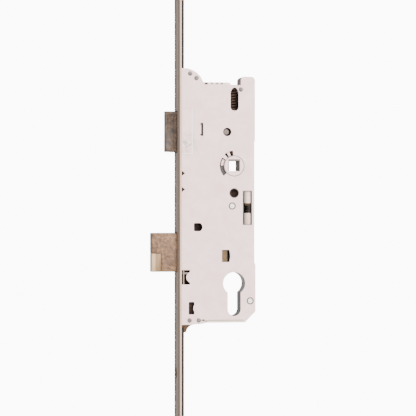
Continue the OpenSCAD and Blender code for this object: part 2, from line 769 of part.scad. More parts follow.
module stud(z) {
    rod_x(face_x - 0.6, rail_x, z, stud_base_d);
    rod_x(face_x - roller_base + 0.1, face_x - 0.6, z, roller_pin_d + 3.4);
    rod_x(face_x - roller_out + 0.8, rod_back + 0.01, z, roller_pin_d);
    rod_x(face_x - roller_out, face_x - roller_out + 0.8, z, roller_pin_d + 1.8);
    rod_x(rod_back, rod_back + 0.7, z, roller_pin_d + 1.8);
}

module upper_roller_studs() color("#8c8580") for (z = upper_rollers) stud(z);
module lower_roller_studs() color("#8c8580") for (z = lower_rollers) stud(z);

module roller(z) color("#9c8f84") translate([face_x, 0, z]) rotate([0, -90, 0]) rotate_extrude() difference() {
    polygon([
        [roller_pin_d / 2 + run, roller_base], [roller_d / 2 - 0.4, roller_base],
        [roller_d / 2, roller_base + 0.4], [roller_d / 2, roller_out - 0.9],
        [roller_d / 2 - 0.9, roller_out], [roller_pin_d / 2 + run, roller_out]
    ]);
    translate([0, roller_out - 0.9]) square([roller_pin_d / 2 + 1.1, 2]);
}
module roller_1() roller(roller_1_z);
module roller_2() roller(roller_2_z);
module roller_3() roller(-roller_3_drop);
module roller_4() roller(-roller_4_drop);

module lower_drive_rod() color("#6d6258") difference() {
    translate([rail_x, -rod_half, -roller_4_drop - rod_end])
        cube([rod_t, 2 * rod_half, roller_4_drop + rod_end + prong_top]);
    rod_openings(lower_fixings, lower_rollers, -rod_travel);
    translate([rail_x - past, -bolt_half, prong_top - prong_len])
        cube([rod_t + 2 * past, 2 * bolt_half, prong_len + past]);
    slab([rod_half - rail_t, rod_half + past]) box2(rail_x - past, rod_back + past, rail_foot, prong_top + past);
}

module lower_slide() color("#a3968a") {
    slab([rod_half - rail_t, rod_half]) {
        box2(rail_x, rail_x + rail_w, -cylinder_drop - 8, slide_hi);
        box2(rail_x, rail_x + 3.7, rail_foot, -cylinder_drop - 8);
        // Bracket that carries the rod, its rear side hollow
        difference() {
            box2(rail_x + 3.6, bracket_end, rail_foot + 4.3, -case_bottom - sill_drop + 0.4);
            disc2(bracket_end + 0.4, rail_foot + 3.2, 14.6);
        }
    }
    slab(slide_layer) difference() {
        box2(rail_x + rail_w - 0.1, rear_in - slip, slide_lo, slide_hi);
        stud_gap = stud_d / 2 + bolt_slip;
        box2(-stud_gap, stud_gap, gear_z - rod_travel - stud_gap, slide_hi + past);
    }
}

module lower_rack() color("#d2cac4") {
    spine = wheel_r + dedendum;
    slab(rack_layer) mirror([1, 0])
        rack2(-wheel_r, gear_z, slide_lo + 2.3, rack_top, -(rear_in - slip));
    slab([rack_layer[1], slide_layer[0]]) box2(spine, rear_in - slip, slide_lo + 2.3, rack_top);
    slab([latch_layer[0] + face_step, rack_layer[0]]) {
        buffer_blocks(rear_in - slip);
        box2(buffer_x[1] + 0.3, rear_in - slip, buffer_lo - 0.05, buffer_hi + 0.05);
    }
    slab([latch_layer[0], latch_layer[0] + face_step]) buffer_blocks(buffer_x[1] - 0.2);
}

// Blocks above and below the buffer spring
module buffer_blocks(to) {
    box2(buffer_x[0] - 0.6, to, buffer_hi, rack_top);
    box2(buffer_x[0] - 0.6, to, slide_lo + 2.3, buffer_lo);
}

module buffer_cup() color("#c09a52") slab([latch_layer[0] + 0.3, rack_layer[0]])
    box2(buffer_x[0], buffer_x[1], buffer_hi - cup_h, buffer_hi);

module buffer_spring() color("#77706b")
    translate([(buffer_x[0] + buffer_x[1]) / 2, (latch_layer[0] + rack_layer[0]) / 2, 0])
        seated_coil(buffer_r, buffer_wire, buffer_lo, buffer_hi - cup_h, buffer_turns);

module deadbolt() color("#a89080") slab([-bolt_half, bolt_half]) difference() {
    box2(bolt_tip, bolt_back, bolt_lo, bolt_hi);
    box2(bolt_back - heel_cut, bolt_back + past, bolt_lo - past, bolt_heel);
    box2(bolt_tip - past, bolt_tip + insert_w, bolt_lo - past, bolt_lo + insert_h);
}

module bolt_insert() color("#b3a598") slab([-bolt_half + 0.3, bolt_half - 0.3])
    box2(bolt_tip, bolt_tip + insert_w, bolt_lo, bolt_lo + insert_h);

module deadbolt_tail() color("#8f8883") slab(tail_y) difference() {
    union() {
        box2(bolt_back - heel_cut, bolt_back, bolt_tail_lo, bolt_heel);
        box2(bolt_back, block_end - block_w, bolt_tail_lo, bolt_tail_hi);
    }
    pin_x = lever_x - lever_r * sin(lever_swing);
    pin_lo = lever_z + lever_r * cos(lever_swing) - lever_pin_d / 2 - 0.4;
    pin_hi = lever_z + lever_r + lever_pin_d / 2 + 0.4;
    box2(pin_x - lever_slot_w / 2, pin_x + lever_slot_w / 2, pin_lo, pin_hi);
}

module tail_block() color("#b8924e") slab([-inner + slip + 0.2, tail_y[1]])
    rounded2(block_end - block_w, block_end, bolt_tail_lo + 0.4, bolt_tail_hi - 0.4, 0.8);

module deadbolt_lever() color("#9a938d") translate([lever_x, 0, lever_z]) rotate([0, -lever_swing, 0]) {
    difference() {
        slab(lever_y) {
            circle(4.4);
            box2(-3, 3, 0, lever_r);
            translate([0, lever_r]) circle(3);
        }
        post_y(0, 0, lever_post_d + 2 * run, [-half_t, half_t]);
    }
    post_y(0, lever_r, lever_pin_d, [tail_y[0] + 0.2, lever_y[0]]);
}

echo(latch_spring_gap = coil_gap(latch_spring_r, latch_spring_wire, latch_back, post_block_x, latch_spring_turns));
echo(hub_return_spring_gap = coil_gap(return_r, return_wire, return_lo, return_hi, return_turns));
echo(buffer_spring_gap = coil_gap(buffer_r, buffer_wire, buffer_lo, buffer_hi - cup_h, buffer_turns));
echo(hub_turn = hub_turn, gear_z = gear_z, foot_z = foot_z);

faceplate();
case_tray();
case_cover();
case_rivets();
case_posts();
screw_blocks();
case_screws();
latch_guide();
deadbolt_guide();
gear_stud();
lever_post();
cylinder_collar();
latch_spring_post();
latch_spring();
hub_return_spring();
rod_guides();
spindle_hub();
drive_gear();
spring_follower();
latch_bolt();
latch_tail();
upper_drive_rod();
upper_rack();
upper_roller_studs();
lower_drive_rod();
lower_slide();
lower_rack();
buffer_cup();
buffer_spring();
lower_roller_studs();
roller_1();
roller_2();
roller_3();
roller_4();
deadbolt();
bolt_insert();
deadbolt_tail();
tail_block();
deadbolt_lever();
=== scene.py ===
"""Looks of a multipoint door lock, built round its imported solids.

The lock stands as it does in a door: +X runs into the door leaf, -Y faces the cover of the
case and +Z is up. Every length is in metres, and MM turns millimetres into them.
"""
import logging
import math
from dataclasses import dataclass
from enum import Enum
from typing import Any, Callable, Iterable, Sequence

import bmesh
import bpy
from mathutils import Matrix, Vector


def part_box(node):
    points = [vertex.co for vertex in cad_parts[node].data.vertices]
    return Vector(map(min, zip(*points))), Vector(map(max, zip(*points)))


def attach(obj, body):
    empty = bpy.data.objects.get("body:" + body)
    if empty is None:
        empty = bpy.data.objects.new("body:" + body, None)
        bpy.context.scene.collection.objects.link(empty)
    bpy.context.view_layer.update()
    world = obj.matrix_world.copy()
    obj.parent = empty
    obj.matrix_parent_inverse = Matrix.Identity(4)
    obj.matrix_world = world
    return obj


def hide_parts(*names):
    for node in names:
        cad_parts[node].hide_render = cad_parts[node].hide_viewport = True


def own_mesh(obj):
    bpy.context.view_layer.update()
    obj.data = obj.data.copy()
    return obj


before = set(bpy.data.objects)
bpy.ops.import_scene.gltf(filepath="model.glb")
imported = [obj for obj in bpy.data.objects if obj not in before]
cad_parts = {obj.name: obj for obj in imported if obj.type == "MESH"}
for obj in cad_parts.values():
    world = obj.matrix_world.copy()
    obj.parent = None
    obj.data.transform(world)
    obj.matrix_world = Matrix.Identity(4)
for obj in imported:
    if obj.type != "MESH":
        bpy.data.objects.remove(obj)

MM = 0.001
# Radius of the latch spring's post, and X and Z of the gear's hole in the cover
POST_R_MM = 2.2
GEAR_PLACE = (0.0, -0.02125)
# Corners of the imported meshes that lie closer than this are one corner
WELD = 0.002 * MM
# A surface faces an axis when this much of its normal lies along it
FACING = 0.9
# Width of the flush rivets, and of the small ones that have upset heads
FLUSH_RIVETS_MM = (4.5, 8.0)
SMALL_RIVETS_MM = (0.0, 4.5)
LOG = logging.getLogger("lock")
Point = tuple[float, float, float]
Station = tuple[float, float]
Field = tuple[Station, Station]
Piece = bpy.types.Object
Tree = bpy.types.NodeTree
Socket = bpy.types.NodeSocket


class Axis(Enum):
    """Direction that a turned piece is built along."""

    X = (1.0, 0.0, 0.0)
    MINUS_X = (-1.0, 0.0, 0.0)
    MINUS_Y = (0.0, -1.0, 0.0)
    Z = (0.0, 0.0, 1.0)


class Slot(Enum):
    """Material slots of the record."""

    PLATING = "faceplate_plating"
    SHEET = "case_sheet"
    BRIGHT = "bright_steel"
    CAST = "cast_bolt"
    ROLLER = "roller_steel"
    SPRING = "spring_steel"


def linear(code: str) -> tuple[float, float, float, float]:
    """Turns an sRGB hex colour, such as "#9f8a7a", into Blender's linear one."""
    channels = [int(code[i:i + 2], 16) / 255 for i in (1, 3, 5)]
    lit = [c / 12.92 if c <= 0.04045 else ((c + 0.055) / 1.055) ** 2.4 for c in channels]
    return (lit[0], lit[1], lit[2], 1.0)


def per_metre(size_mm: float) -> float:
    """Texture scale at which one cell of a pattern is size_mm wide."""
    return 1000.0 / size_mm


def add_node(tree: Tree, kind: str, settings: dict[str, Any] | None = None,
             inputs: dict[Any, Any] | None = None) -> bpy.types.Node:
    """Adds one shader node, sets it and links it.

    Args:
        tree: the material's node tree.
        kind: the node's type name.
        settings: properties of the node, such as its operation.
        inputs: sockets by name or number; a socket as value is linked, anything else is set.

    Returns:
        The new node.
    """
    node = tree.nodes.new(kind)
    for key, value in (settings or {}).items():
        setattr(node, key, value)
    for key, value in (inputs or {}).items():
        if isinstance(value, bpy.types.NodeSocket):
            tree.links.new(value, node.inputs[key])
        else:
            node.inputs[key].default_value = value
    return node


def combine(tree: Tree, operation: str, *values: Any) -> Socket:
    """The result of one math node, whose inputs are sockets or numbers in their order."""
    node = add_node(tree, "ShaderNodeMath", {"operation": operation}, dict(enumerate(values)))
    return node.outputs[0]


def fade(tree: Tree, value: Socket, start: float, end: float, low: float = 0.0,
         high: float = 1.0) -> Socket:
    """Goes from low to high while a value goes from start to end, and stays there beyond."""
    node = add_node(tree, "ShaderNodeMapRange", None, {
        "Value": value, "From Min": start, "From Max": end, "To Min": low, "To Max": high})
    return node.outputs["Result"]


def object_place(tree: Tree) -> Socket:
    """The place on the object, in metres."""
    return add_node(tree, "ShaderNodeTexCoord").outputs["Object"]


def parts_of(tree: Tree, vector: Socket) -> bpy.types.NodeOutputs:
    """X, Y and Z of a vector."""
    return add_node(tree, "ShaderNodeSeparateXYZ", None, {0: vector}).outputs


def normal_of(tree: Tree) -> bpy.types.NodeOutputs:
    """X, Y and Z of the surface's own normal."""
    return parts_of(tree, add_node(tree, "ShaderNodeNewGeometry").outputs["True Normal"])


def in_field(tree: Tree, middle: Station, half: Station) -> Socket:
    """1 in an upright rectangle, given by its middle and its half size, and 0 outside."""
    at = parts_of(tree, object_place(tree))
    across = combine(tree, "COMPARE", at["X"], middle[0], half[0])
    along = combine(tree, "COMPARE", at["Z"], middle[1], half[1])
    return combine(tree, "MULTIPLY", across, along)


def away_from(tree: Tree, x: float = 0.0, z: float = 0.0) -> Socket:
    """Distance from a point, measured in the plane of the case."""
    flat = add_node(tree, "ShaderNodeVectorMath", {"operation": "MULTIPLY"},
                    {0: object_place(tree), 1: (1.0, 0.0, 1.0)})
    away = add_node(tree, "ShaderNodeVectorMath", {"operation": "DISTANCE"},
                    {0: flat.outputs["Vector"], 1: (x, 0.0, z)})
    return away.outputs["Value"]


@dataclass(frozen=True)
class Ring:
    """A dark line round a circle on the flat side, such as a running gap or a tool mark.

    The place and the radii are in metres, in the plane of the case.
    """

    x: float
    z: float
    inner: float
    outer: float


def rings_at(places: Iterable[Station], inner_mm: float, outer_mm: float) -> tuple[Ring, ...]:
    """The same ring round several places, each given by its X and Z."""
    return tuple(Ring(x, z, inner_mm * MM, outer_mm * MM) for x, z in places)


def post_place() -> Station:
    """X and Z of the round end of the latch spring's post."""
    low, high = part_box("latch_spring_post")
    return (high.x - POST_R_MM * MM, (low.z + high.z) / 2)


def rivet_places(widths_mm: Station) -> list[Station]:
    """Where rivets end in the cover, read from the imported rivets' own points.

    Args:
        widths_mm: least and greatest width of the rivets that are wanted.

    Returns:
        X and Z of each rivet that wide.
    """
    least, most = (width * MM for width in widths_mm)
    net = bmesh.new()
    net.from_mesh(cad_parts["case_rivets"].data)
    bmesh.ops.remove_doubles(net, verts=net.verts, dist=WELD)
    left = set(net.verts)
    places = []
    while left:
        group, queue = set(), [left.pop()]
        while queue:
            point = queue.pop()
            group.add(point)
            near = {edge.other_vert(point) for edge in point.link_edges} & left
            left -= near
            queue.extend(near)
        xs, zs = [p.co.x for p in group], [p.co.z for p in group]
        if least < max(xs) - min(xs) < most:
            places.append(((max(xs) + min(xs)) / 2, (max(zs) + min(zs)) / 2))
    net.free()
    return sorted(places)


@dataclass(frozen=True)
class Finish:
    """A finish of the lock: two tones in soft patches, a fine grain, and its gloss.

    The patches and the grain have the sizes that the real surface shows, in millimetres.
    """

    name: str
    tone: str
    shade: str
    patch_mm: float = 9.0
    grain_mm: float = 0.8
    grain_depth_mm: float = 0.02
    grain_tint: float = 0.12
    roughness: float = 0.5
    roughness_spread: float = 0.12
    metallic: float = 0.0
    stretch: Point = (1.0, 1.0, 1.0)
    low: float = 0.38
    high: float = 0.64
    # Tone of cut edges: bare metal in painted shade
    wall: str = ""
    rings: tuple[Ring, ...] = ()
    line: str = "#5c524e"
    specular: float = 0.5

    def place(self, tree: Tree) -> Socket:
        """Coordinates of the pattern, drawn out along the grain of the metal."""
        grid = add_node(tree, "ShaderNodeMapping", None,
                        {"Vector": object_place(tree), "Scale": self.stretch})
        return grid.outputs["Vector"]

    def noise(self, tree: Tree, at: Socket, size_mm: float, detail: float = 3.0,
              distortion: float = 0.0) -> Socket:
        """A noise pattern with cells of size_mm."""
        node = add_node(tree, "ShaderNodeTexNoise", None,
                        {"Vector": at, "Scale": per_metre(size_mm), "Detail": detail,
                         "Roughness": 0.6, "Distortion": distortion})
        return node.outputs["Fac"]

    def ramp(self, tree: Tree, factor: Socket, stops: Sequence[tuple[float, str]]) -> Socket:
        """A colour ramp through the given stops.

        Args:
            tree: the material's node tree.
            factor: what drives the ramp.
            stops: positions from 0 to 1, each with its hex colour.

        Returns:
            The ramp's colour socket.
        """
        node = add_node(tree, "ShaderNodeValToRGB", None, {"Fac": factor})
        band = node.color_ramp
        while len(band.elements) < len(stops):
            band.elements.new(1.0)
        for element, (position, code) in zip(band.elements, stops):
            element.position = position
            element.color = linear(code)
        return node.outputs["Color"]

    def blend(self, tree: Tree, factor: Any, under: Socket, over: Socket | str,
              mode: str = "MIX") -> Socket:
        """Lays a colour, given by a socket or as a hex colour, over another by a factor."""
        upper = linear(over) if isinstance(over, str) else over
        node = add_node(tree, "ShaderNodeMix", {"data_type": "RGBA", "blend_type": mode},
                        {0: factor, 6: under, 7: upper})
        return node.outputs[2]

    def colour(self, tree: Tree, at: Socket, grain: Socket) -> Socket:
        """The surface's colour: patches of both tones, with the grain a little darker."""
        patches = self.noise(tree, at, self.patch_mm, 4.0, 0.6)
        base = self.ramp(tree, patches, [(self.low, self.shade), (self.high, self.tone)])
        dust = self.ramp(tree, grain, [(0.35, "#8c8c8c"), (0.6, "#ffffff")])
        return self.blend(tree, self.grain_tint, base, dust, "MULTIPLY")

    def relief(self, tree: Tree, at: Socket, grain: Socket) -> Socket:
        """What the bump reads as height, from 0 to 1."""
        return grain

    def sheared(self, tree: Tree, base: Socket) -> Socket:
        """Gives the edges of punched and sawn openings a darker tone, their bare metal in painted
        shade.
        """
        facing = combine(tree, "ABSOLUTE", normal_of(tree)["Y"])
        return self.blend(tree, fade(tree, facing, 0.8, 0.97, 1.0, 0.0), base, self.wall)

    def ringed(self, tree: Tree, base: Socket, ring: Ring) -> Socket:
        """Draws one dark ring on a colour."""
        mask = combine(tree, "COMPARE", away_from(tree, ring.x, ring.z),
                       (ring.inner + ring.outer) / 2, (ring.outer - ring.inner) / 2)
        return self.blend(tree, mask, base, self.line)

    def build(self) -> bpy.types.Material:
        """Makes the material."""
        made = bpy.data.materials.new(self.name)
        made.use_nodes = True
        tree = made.node_tree
        tree.nodes.clear()
        at = self.place(tree)
        grain = self.noise(tree, at, self.grain_mm)
        gloss = fade(tree, grain, 0.3, 0.7, max(0.05, self.roughness - self.roughness_spread),
                     min(1.0, self.roughness + self.roughness_spread))
        bump = add_node(tree, "ShaderNodeBump", None, {
            "Height": self.relief(tree, at, grain), "Strength": 0.6,
            "Distance": self.grain_depth_mm * MM})
        colour = self.colour(tree, at, grain)
        if self.wall:
            colour = self.sheared(tree, colour)
        for ring in self.rings:
            colour = self.ringed(tree, colour, ring)
        shader = add_node(tree, "ShaderNodeBsdfPrincipled", None, {
            "Base Color": colour, "Metallic": self.metallic,
            "Specular IOR Level": self.specular, "Roughness": gloss,
            "Normal": bump.outputs["Normal"]})
        add_node(tree, "ShaderNodeOutputMaterial", None, {"Surface": shader.outputs["BSDF"]})
        return made

    def on(self, piece: Piece) -> None:
        """Gives a piece this finish on all its faces."""
        found = bpy.data.materials.get(self.name) or self.build()
        piece.data.materials.clear()
        piece.data.materials.append(found)


@dataclass(frozen=True)
class StripPlating(Finish):
    """Zinc-plated cold-rolled strip with an olive passivation, rolled lengthwise.

    The front is a taupe with long faint streaks of mauve and olive. Its rounded edges carry
    painted shade, and the two narrow sides behind them are painted light, a warm cream for the
    same plating where it is lit. Towards the tray's side the front takes the tone of the shade
    that lies there in the photograph.
    """

    # The sides' cream is painted light: the same plating as the front, where it is lit
    side: str = "#f3d2b2"
    side_shade: str = "#dcb896"
    side_at_mm: float = 7.65
    side_from: float = -0.0428
    shade_from_mm: float = -5.5
    shade_to_mm: float = -2.0
    # Painted shade on the front towards the tray's side
    rim: str = "#41342b"
    # Painted shade on the rounded edges
    edge_shade: str = "#5a4a41"
    mauve: str = "#8f7f86"
    olive: str = "#a1977c"
    tint_mm: float = 3.5
    tint_share: float = 0.35

    def colour(self, tree: Tree, at: Socket, grain: Socket) -> Socket:
        """Streaked front, tinted in long patches, with painted shade on its rims and far side,
        and its sides painted light, in the cream of the lit plating.
        """
        front = Finish.colour(self, tree, at, grain)
        tints = self.noise(tree, at, self.tint_mm, 2.0)
        tint = self.ramp(tree, tints, [(0.36, self.mauve), (0.5, self.tone), (0.66, self.olive)])
        front = self.blend(tree, self.tint_share, front, tint)
        place = parts_of(tree, object_place(tree))
        # Painted shade on the front towards the tray's side
        shaded = fade(tree, place["Y"], self.shade_from_mm * MM, self.shade_to_mm * MM, high=0.8)
        front = self.blend(tree, shaded, front, self.rim)
        # Painted shade on the rounded edges
        across = combine(tree, "ABSOLUTE", place["Y"])
        edge = fade(tree, across, (self.side_at_mm - 0.15) * MM, self.side_at_mm * MM)
        front = self.blend(tree, edge, front, self.edge_shade)
        behind = fade(tree, place["X"], self.side_from - 0.1 * MM, self.side_from + 0.1 * MM)
        # The sides behind the edges are painted light, in cream
        lit_flank = self.ramp(tree, grain, [(0.3, self.side_shade), (0.6, self.side)])
        return self.blend(tree, combine(tree, "MULTIPLY", edge, behind), front, lit_flank)


@dataclass(frozen=True)
class CaseSheet(Finish):
    """Galvanised sheet steel under a thin matt lacquer, punched and pressed.

    It is a pale pinkish grey, barely mottled, with grey marks behind the latch. The
    pad's edges are drawn as painted highlights, the rims of the smaller openings as painted
    shade and the joint with the faceplate as a dark line, as fields in millimetres. The inside
    of the tray is painted with the shade inside the case.
    """

    mark: str = "#b3a6a2"
    mark_at: Point = (-0.0375, -0.0075, 0.017)
    mark_inner_mm: float = 3.0
    mark_size_mm: float = 11.0
    # Painted shade on the tray's inside
    inside: str = "#2b221e"
    # Painted highlight on the pad's edges
    pad_highlight: str = "#fff2ed"
    pad_mm: Station = (9.0, 1.85)
    line_mm: float = 0.8
    joint: str = "#8f7c6e"
    slit_mm: Point = (1.8, -87.0, 5.7)
    # Painted shade round the rack window
    groove: str = "#5f524c"
    groove_mm: float = 0.5
    rack_window_mm: Field = ((10.55, -32.85), (3.25, 13.05))
    # Painted shade over the burrs round the smaller openings
    burr_shade: str = "#8a7e79"
    burr_mm: float = 0.35
    windows_mm: tuple[Field, ...] = (
        ((-25.5, 28.45), (0.6, 4.95)), ((0.6, 63.3), (2.6, 0.0)),
        ((-17.75, 64.6), (0.6, 0.5)), ((-13.75, 64.6), (0.6, 0.5)), ((-9.95, 64.6), (0.6, 0.5)))
    sill: str = "#b3a695"
    sill_mm: Field = ((-9.5, -120.9), (17.0, 0.55))
    notch: str = "#4a3d38"
    notches_mm: tuple[Field, ...] = (((-22.3, 64.7), (1.1, 0.8)), ((-24.6, -120.6), (0.9, 0.7)))
    rear_wall: float = 0.0145

    def colour(self, tree: Tree, at: Socket, grain: Socket) -> Socket:
        """Pale mottled sheet with grey marks, drawn fields and painted shade on the inside."""
        sheet = Finish.colour(self, tree, at, grain)
        near = add_node(tree, "ShaderNodeVectorMath", {"operation": "DISTANCE"},
                        {0: object_place(tree), 1: self.mark_at})
        reach = fade(tree, near.outputs["Value"], self.mark_inner_mm * MM,
                     self.mark_size_mm * MM, 1.0, 0.0)
        marks = fade(tree, self.noise(tree, at, 4.0, 4.0, 1.0), 0.44, 0.62)
        sheet = self.blend(tree, combine(tree, "MULTIPLY", reach, marks), sheet, self.mark)
        # Painted highlights on the pad, painted shade round the openings, and the drawn joints
        for (middle, half), tone in self.lines() + self.rim_fields():
            sheet = self.blend(tree, in_field(tree, middle, half), sheet, tone)
        # Painted shade on the tray's floor and rear wall inside
        return self.blend(tree, self.floor_inside(tree), sheet, self.inside)

    def lines(self) -> list[tuple[Field, str]]:
        """Fields and tones of the pad's painted highlights, the strip in the front window and the
        joint.

        The joint is the line where the cover meets the back of the faceplate.
        """
        latch_low, latch_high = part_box("latch_bolt")
        cover_low, cover_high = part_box("case_cover")
        strip_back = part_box("faceplate")[1].x
        rear = strip_back + self.pad_mm[0] * MM
        foot = latch_low.z - self.pad_mm[1] * MM
        head = latch_high.z + self.pad_mm[1] * MM
        half = self.line_mm / 2 * MM
        slit_x, slit_z = strip_back + self.slit_mm[0] * MM, self.slit_mm[1] * MM
        cover_z, cover_half = (cover_low.z + cover_high.z) / 2, (cover_high.z - cover_low.z) / 2
        return [
            # The pad's rear and foot edges, as painted highlights
            (((rear - half, (foot + head) / 2), (half, (head - foot) / 2)), self.pad_highlight),
            ((((strip_back + rear) / 2, foot + half), ((rear - strip_back) / 2, half)),
             self.pad_highlight),
            (((slit_x, slit_z), (half, self.slit_mm[2] * MM)), self.joint),
            (((strip_back + half / 2, cover_z), (half / 2, cover_half)), self.joint)]

    def rim_fields(self) -> list[tuple[Field, str]]:
        """Fields and tones of the openings' rims in painted shade, the sill and the dark notches.
        """
        rims = [(self.rack_window_mm, self.groove_mm, self.groove)]
        rims += [(window, self.burr_mm, self.burr_shade) for window in self.windows_mm]
        listed = [((middle, (half[0] + rim, half[1] + rim)), tone)
                  for (middle, half), rim, tone in rims]
        listed += [(self.sill_mm, self.sill)] + [(spot, self.notch) for spot in self.notches_mm]
        return [(((x * MM, z * MM), (w * MM, h * MM)), tone)
                for ((x, z), (w, h)), tone in listed]

    def floor_inside(self, tree: Tree) -> Socket:
        """1 on the tray's floor and rear wall seen from inside, which take painted shade, and 0
        elsewhere.
        """
        place, turn = parts_of(tree, object_place(tree)), normal_of(tree)
        deep = combine(tree, "GREATER_THAN", place["Y"], 0.0)
        front = combine(tree, "LESS_THAN", turn["Y"], -FACING)
        rear = combine(tree, "MULTIPLY", combine(tree, "GREATER_THAN", place["X"], self.rear_wall),
                       combine(tree, "LESS_THAN", turn["X"], -FACING))
        return combine(tree, "MULTIPLY_ADD", deep, front, rear)


@dataclass(frozen=True)
class CastMetal(Finish):
    """Precision-cast steel, tumbled: a brown-pink skin with darker blotches and pits."""

    blotch: str = "#5b4a42"
    blotch_mm: float = 3.2
    pit_mm: float = 1.1

    def colour(self, tree: Tree, at: Socket, grain: Socket) -> Socket:
        """Two tones, broken by blotches a few millimetres wide."""
        skin = Finish.colour(self, tree, at, grain)
        spots = self.noise(tree, at, self.blotch_mm, 5.0, 1.2)
        return self.blend(tree, fade(tree, spots, 0.52, 0.7, high=0.75), skin, self.blotch)

    def relief(self, tree: Tree, at: Socket, grain: Socket) -> Socket:
        """Pits of the casting over its fine grain."""
        pits = add_node(tree, "ShaderNodeTexVoronoi", None, {
            "Vector": at, "Scale": per_metre(self.pit_mm)})
        return combine(tree, "MULTIPLY", pits.outputs["Distance"], grain)


@dataclass(frozen=True)
class HubSteel(Finish):
    """Sintered steel, with the cover's shade painted on the lower part of its lug and round its
    square hole.
    """

    # Painted shade on the lug's lower part
    dark: str = "#332e2b"
    dark_from_mm: float = 8.3
    dark_below_mm: float = 0.4
    # Painted shade round the square hole, widest above it
    rim: str = "#6a5c52"
    hole_half_mm: float = 4.0
    rim_mm: float = 0.65
    rim_lift_mm: float = 0.6

    def colour(self, tree: Tree, at: Socket, grain: Socket) -> Socket:
        """Pale porous steel, with painted shade low on the lug and round the square hole."""
        pale = Finish.colour(self, tree, at, grain)
        place = parts_of(tree, object_place(tree))
        # Painted shade low on the lug
        outside = combine(tree, "GREATER_THAN", away_from(tree), self.dark_from_mm * MM)
        below = combine(tree, "LESS_THAN", place["Z"], self.dark_below_mm * MM)
        shaded = self.blend(tree, combine(tree, "MULTIPLY", outside, below), pale, self.dark)
        # Painted shade round the square hole
        reach = (self.hole_half_mm + self.rim_mm) * MM
        hole = in_field(tree, (0.0, self.rim_lift_mm * MM), (reach, reach))
        return self.blend(tree, hole, shaded, self.rim)


@dataclass(frozen=True)
class GradedFinish(Finish):
    """A finish that turns into a second tone along one axis, by a shade or a brighter end.

    The places are in metres. Whatever lies deeper in the case than deep_from has that tone too.
    """

    second: str = "#3b302a"
    along: str = "Z"
    starts: float = -0.123
    ends: float = -0.121
    deep_from: float = 1.0

    def colour(self, tree: Tree, at: Socket, grain: Socket) -> Socket:
        """The bare finish, and the second tone past the place where it starts."""
        bare = Finish.colour(self, tree, at, grain)
        place = parts_of(tree, object_place(tree))
        past = fade(tree, place[self.along], self.starts, self.ends)
        deep = combine(tree, "GREATER_THAN", place["Y"], self.deep_from)
        return self.blend(tree, combine(tree, "MAXIMUM", past, deep), bare, self.second)


@dataclass(frozen=True)
class TurnedSteel(Finish):
    """Free-cutting steel, turned and nickel-plated, with fine rings from the tool.

    The rings of a lathe cut are too fine to show, so they are drawn 0.4 mm apart.
    """

    ring_mm: float = 0.4
    ring_along: str = "X"

    def relief(self, tree: Tree, at: Socket, grain: Socket) -> Socket:
        """Rings side by side along the turning axis, broken a little by the grain."""
        rings = add_node(tree, "ShaderNodeTexWave", {"bands_direction": self.ring_along}, {
            "Vector": at, "Scale": per_metre(self.ring_mm) / 20, "Distortion": 0.4})
        return rings.outputs["Fac"]


